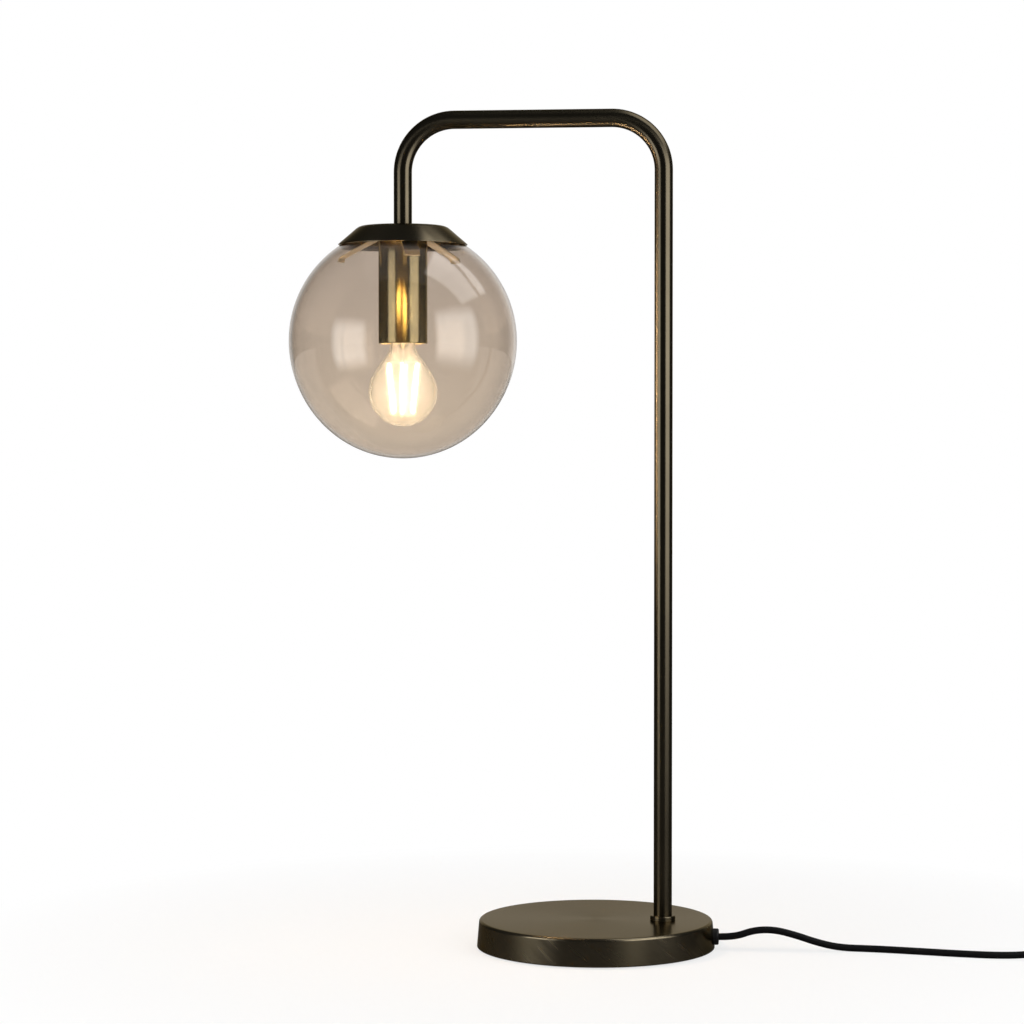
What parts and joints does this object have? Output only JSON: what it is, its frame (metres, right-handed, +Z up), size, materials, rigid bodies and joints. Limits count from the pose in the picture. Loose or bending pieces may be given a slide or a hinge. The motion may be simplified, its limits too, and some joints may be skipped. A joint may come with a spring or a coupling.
{
  "type": "table lamp",
  "caption": "Table lamp: clear glass globe over a small bulb, hung under a spun cap from a cranked brass tube on a round weighted base, with cord, in-line switch and plug.",
  "frame": {"origin": "centre of the round base's underside, on the table", "axes": "+Z up, -X from the stem towards the globe, +X towards the cord's bush, +Y away from the camera side"},
  "size_m": [0.6512, 0.1568, 0.5485],
  "materials": {
    "antique_brass": "antique brass, brushed and lacquered",
    "spring_brass": "bright spring brass",
    "globe_glass": "clear glass with a light smoke tint",
    "bulb_glass": "clear glass",
    "cast_iron": "raw casting",
    "zinc_steel": "zinc plated",
    "nickel_cap": "nickel plated",
    "contact_brass": "bright",
    "soft_pad": "matt foam pad",
    "cord_black": "matt flexible cover",
    "tie_black": "matt",
    "black_plastic": "satin moulding",
    "holder_black": "moulded thermoset",
    "led_phosphor": "yellow phosphor coat"
  },
  "bodies": {
    "lamp": {"base_shell": "antique_brass", "stem_collar": "antique_brass", "stem_tube": "antique_brass", "shade_cap": "antique_brass", "holder_sleeve": "antique_brass", "globe_clips": "spring_brass", "base_weight": "cast_iron", "base_plate": "zinc_steel", "plate_screws": "zinc_steel", "foot_nipple": "zinc_steel", "foot_washer": "zinc_steel", "foot_nut": "zinc_steel", "head_nipple": "zinc_steel", "cap_washer": "zinc_steel", "cap_nut": "zinc_steel", "clip_plate": "zinc_steel", "clip_rivets": "zinc_steel", "switch_screws": "zinc_steel", "plug_pins": "nickel_cap", "holder_shell": "contact_brass", "holder_contact": "contact_brass", "holder_terminals": "contact_brass", "switch_contacts": "contact_brass", "base_pad": "soft_pad", "inner_flex": "cord_black", "cord_run": "cord_black", "cord_link": "cord_black", "cord_coil": "cord_black", "cord_tail": "cord_black", "coil_tie": "tie_black", "cord_bush": "black_plastic", "bush_nut": "black_plastic", "switch_base": "black_plastic", "switch_cover": "black_plastic", "plug_body": "black_plastic", "holder_cap": "holder_black", "holder_body": "holder_black"},
    "globe": {"globe": "globe_glass"},
    "bulb_carrier": {"bulb_insulator": "holder_black", "bulb_tip": "contact_brass"},
    "bulb": {"bulb_glass": "bulb_glass", "bulb_cap": "nickel_cap", "bulb_stem": "bulb_glass", "led_filaments": "led_phosphor", "filament_wires": "zinc_steel"},
    "rocker": {"switch_rocker": "black_plastic"}
  },
  "joints": [
    {"name": "globe_pull", "type": "slide", "parent": "lamp", "child": "globe", "axis": [0, 0, -1], "range_m": [0, 0.125], "deforming": ["globe_clips"]},
    {"name": "bulb_out", "type": "slide", "parent": "lamp", "child": "bulb_carrier", "axis": [0, 0, -1], "range_m": [0, 0.0113]},
    {"name": "bulb_turn", "type": "hinge", "parent": "bulb_carrier", "child": "bulb", "pos_m": [-0.1275, 0, 0.4], "axis": [0, 0, -1], "range_deg": [0, 1440]},
    {"name": "switch_rock", "type": "hinge", "parent": "lamp", "child": "rocker", "pos_m": [0.339, -0.018, 0.0128], "axis": [0, 1, 0], "range_deg": [0, 16]}
  ],
  "couplings": [
    {"joint": "bulb_out", "follows": "bulb_turn", "m_per_rad": 0.00044913}
  ]
}
